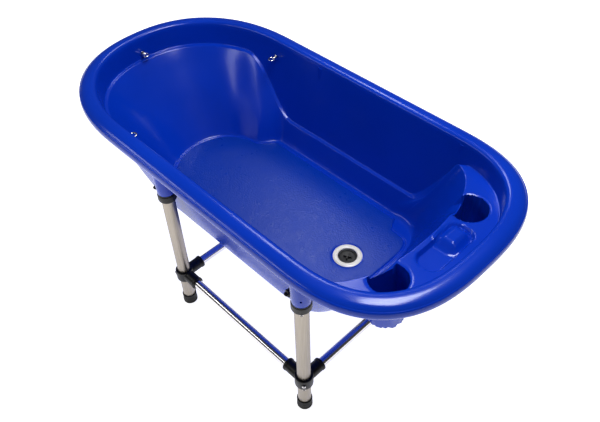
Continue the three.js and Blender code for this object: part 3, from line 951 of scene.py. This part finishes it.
def hose_tail(place, top):
    """The barbed spigot under the drain."""
    tail, bore, core = DRAIN_TAIL_RADIUS, 0.015, 0.0185
    barbs = []
    for step in (0.034, 0.026, 0.018):
        barbs += [(0.0200, top - step), (core, top - step + 0.0005)]
    neck = [(core, top - 0.008), (tail - 0.001, top - 0.004), (tail - 0.001, top), (bore, top)]
    profile = [(bore, top - 0.042), (0.018, top - 0.042)] + barbs + neck
    vertices, faces = turned(profile, 0.0005, 64)
    return piece("drain_hose_tail", vertices, faces, BLACK, "tub", ["drain_spigot"], place)


def drain():
    place = Matrix.Translation((DRAIN_X, 0, 0))
    drain_ring_piece(place)
    underside = DRAIN_SEAT_Z - WALL - GAP
    seal = sleeve(DRAIN_TAIL_RADIUS + 0.0005, 0.038, underside - SEAL_THICKNESS, underside)
    piece("drain_seal", *turned(seal, 0.0006, 72), RUBBER, "tub", ["drain_gasket"], place)
    drain_nut(place, underside - SEAL_THICKNESS - GAP)
    hose_tail(place, DRAIN_TAIL_BOTTOM - GAP)


def stopper():
    """Disc with a raised rim and a crossed grip."""
    top, bottom = DRAIN_SEAT_Z - 0.001, DRAIN_SEAT_Z - 0.007
    edge = 0.026 - GAP
    profile = [
        (0, bottom),
        (edge, bottom),
        (edge, top - 0.0006),
        (edge - 0.0012, top),
        (edge - 0.004, top),
        (edge - 0.0052, top - 0.0022),
        (0, top - 0.0022),
    ]
    body = scratch(*turned(profile, 0.0005, 72))
    long, wide = 0.011, 0.0019
    bar = [(-long, -wide), (long, -wide), (long, wide), (-long, wide)]
    bars = [
        scratch(*extruded(bar, top - 0.003, top + 0.0029), Matrix.Rotation(angle, 4, "Z"))
        for angle in (0.5, 0.5 + math.pi / 2)
    ]
    combine(body, bars, "UNION")
    body.data.transform(Matrix.Translation((DRAIN_X, 0, 0)))
    return named(body, "drain_plug", BLACK, "stopper", ["drain_stopper"])


# ---- Tie points ----
def torus(radius, wire, segments=64, sides=24):
    vertices, faces = [], []
    for i in range(segments):
        this, following = i * sides, (i + 1) % segments * sides
        turn = TAU * i / segments
        for j in range(sides):
            round_wire = TAU * j / sides
            beside = (j + 1) % sides
            across = radius + wire * math.cos(round_wire)
            vertices.append((across * math.cos(turn), across * math.sin(turn), wire * math.sin(round_wire)))
            faces.append([this + j, following + j, following + beside, this + beside])
    return vertices, faces


def tie_stud(which, place):
    """The stud through the wall, threaded at its outer end."""
    threads = []
    for k in range(7):
        z = -0.0155 + 0.0012 * k
        threads += [(STUD_RADIUS, z), (STUD_RADIUS - 0.0005, z + 0.0006)]
    pin = STUD_RADIUS - 0.0008
    end = [(STUD_RADIUS, -0.0065), (STUD_RADIUS, 0.0046), (pin, 0.005), (pin, 0.009), (0, 0.009)]
    vertices, faces = turned([(0, -0.016)] + threads + end, 0.0001, 32)
    return piece(f"tie_bolt_{which}", vertices, faces, POLISHED, "tub", [f"tie_stud_{which}"], place)


def tie_washer(which, place):
    vertices, faces = turned(sleeve(STUD_RADIUS + GAP, 0.008, 0.0025, 0.0041), 0.0004, 48)
    name, node = f"tie_ring_washer_{which}", f"tie_washer_{which}"
    return piece(name, vertices, faces, POLISHED, "tub", [node], place)


def tie_nut(which, place):
    """Hexagon nut outside the wall, its corners turned off."""
    nut = scratch(*extruded(polygon(6, 0.006), -0.0136, -0.008))
    crown_profile = [
        (0, -0.0137),
        (0.0053, -0.0137),
        (0.0059, -0.013),
        (0.0059, -0.0086),
        (0.0053, -0.0079),
        (0, -0.0079),
    ]
    crown = scratch(*turned(crown_profile, 0.0001, 48))
    bore = scratch(*turned(rod(STUD_RADIUS + GAP, -0.02, 0), 0, 32))
    combine(nut, [crown], "INTERSECT")
    combine(nut, [bore], "DIFFERENCE")
    nut.data.transform(place)
    return named(nut, f"tie_back_nut_{which}", POLISHED, "tub", [f"tie_nut_{which}"])


def tie_eye(which, place, centre, inward):
    """The eye, with a hub that turns on the stud."""
    upright = Matrix.Translation((0, 0, TIE_EYE_REACH)) @ Matrix.Rotation(math.pi / 2, 4, "X")
    loop = scratch(*torus(0.0085, 0.0023), upright)
    hub_profile = [
        (0, 0.0052),
        (0.0046, 0.0052),
        (0.0046, 0.0075),
        (0.0034, 0.0100),
        (0.0030, 0.0115),
        (0, 0.0115),
    ]
    hub = scratch(*turned(hub_profile, 0.0005, 40))
    socket = scratch(*turned(rod(STUD_RADIUS - 0.0004, 0.004, 0.0095), 0, 24))
    combine(loop, [hub], "UNION")
    combine(loop, [socket], "DIFFERENCE")
    loop.data.transform(place)
    turn = flat_turn(loop, centre, inward)
    loop.data.transform(Matrix.Translation(centre) @ turn @ Matrix.Translation(-centre))
    return named(loop, f"tie_loop_{which}", POLISHED, f"tie_eye_{which}", [f"tie_eye_{which}"])


def tie_point(which):
    """Stud through the wall, washer and nut, and an eye that turns on the stud."""
    joint = next(j for j in frame["joints"] if j["name"] == f"tie_eye_{which}_swivel")
    inward = Vector(joint["axis"])
    centre = Vector(joint["pos_m"])
    place = pointing(inward, centre - inward * TIE_EYE_REACH)
    tie_stud(which, place)
    tie_washer(which, place)
    tie_nut(which, place)
    tie_eye(which, place, centre, inward)


def flat_turn(loop, centre, axis):
    """The turn about axis that lays a loop's hole upright, so that the loop lies flat."""
    spread = np.array([v.co for v in loop.data.vertices]) - np.array(centre)
    height = np.ptp(spread[:, 2])
    return Matrix.Rotation(math.pi / 2 if height > 0.012 else 0, 4, axis)


tub()
for corner in CORNERS:
    leg_socket(corner)
for corner in CORNERS:
    leg(corner)
    foot(corner)
    snap_button("upper", corner)
    snap_button("lower", corner)
    collar(corner)
    knob(corner)
    connector(corner)
    clamp_bolt(corner)
for side in ("front", "rear"):
    rail(f"rail_long_{side}", f"long_rail_{side}", 0)
for end in ("deep", "shelf"):
    rail(f"rail_cross_{end}", f"cross_rail_{end}", 1)
drain()
stopper()
for which in ("end", "rear", "front"):
    tie_point(which)


# ---- Studio ----
def floor():
    mesh = bpy.data.meshes.new("studio_floor")
    reach = 6.0
    square = [(-reach, -reach, 0), (reach, -reach, 0), (reach, reach, 0), (-reach, reach, 0)]
    mesh.from_pydata(square, [], [(0, 1, 2, 3)])
    obj = bpy.data.objects.new("studio_floor", mesh)
    bpy.context.scene.collection.objects.link(obj)
    white = Material("studio_floor_white", (0.9, 0.9, 0.9), 0.9)
    white.set(Emission_Color=(1, 1, 1, 1), Emission_Strength=0.95)
    mesh.materials.append(white.material)


def softbox(name, at, towards, width, height, power, colour=(1, 1, 1)):
    light = bpy.data.lights.new(name, "AREA")
    light.shape = "RECTANGLE"
    light.size, light.size_y = width, height
    light.energy = power
    light.color = colour
    obj = bpy.data.objects.new(name, light)
    bpy.context.scene.collection.objects.link(obj)
    obj.location = at
    obj.rotation_euler = (Vector(towards) - Vector(at)).to_track_quat("-Z", "Y").to_euler()


def world():
    made = bpy.data.worlds.new("studio")
    made.use_nodes = True
    background = made.node_tree.nodes["Background"]
    background.inputs["Color"].default_value = (1, 1, 1, 1)
    background.inputs["Strength"].default_value = 0.085
    bpy.context.scene.world = made


def camera():
    """Turned round Z, tipped down, and rolled a little."""
    yaw, pitch, roll = math.radians(46.764), math.radians(45.55), math.radians(-1.841)
    data = bpy.data.cameras.new("camera")
    data.sensor_width = 36
    data.lens = 39.7
    obj = bpy.data.objects.new("camera", data)
    bpy.context.scene.collection.objects.link(obj)
    back = Vector((math.sin(yaw) * math.cos(pitch), -math.cos(yaw) * math.cos(pitch), math.sin(pitch)))
    right = (-back).cross(Vector((0, 0, 1))).normalized()
    up = right.cross(-back)
    rolled_right = math.cos(roll) * right + math.sin(roll) * up
    rolled_up = -math.sin(roll) * right + math.cos(roll) * up
    turn = Matrix((rolled_right, rolled_up, back)).transposed().to_4x4()
    obj.matrix_world = Matrix.Translation((1.01432, -0.8759, 1.60329)) @ turn
    data.clip_start, data.clip_end = 0.01, 100
    bpy.context.scene.camera = obj


floor()
world()
softbox("key", (0.45, 0.25, 2.4), (0, 0, 0.4), 1.1, 0.7, 38)
softbox("rear_panel", (-1.2, 1.3, 2.6), (0, 0, 0.3), 0.7, 0.7, 11)
softbox("front_strip", (-0.86, -1.5, 1.37), (0, -0.1, 0.4), 1.6, 0.3, 7)
view = bpy.context.scene.view_settings
view.view_transform = "Standard"
view.gamma = 0.86
camera()
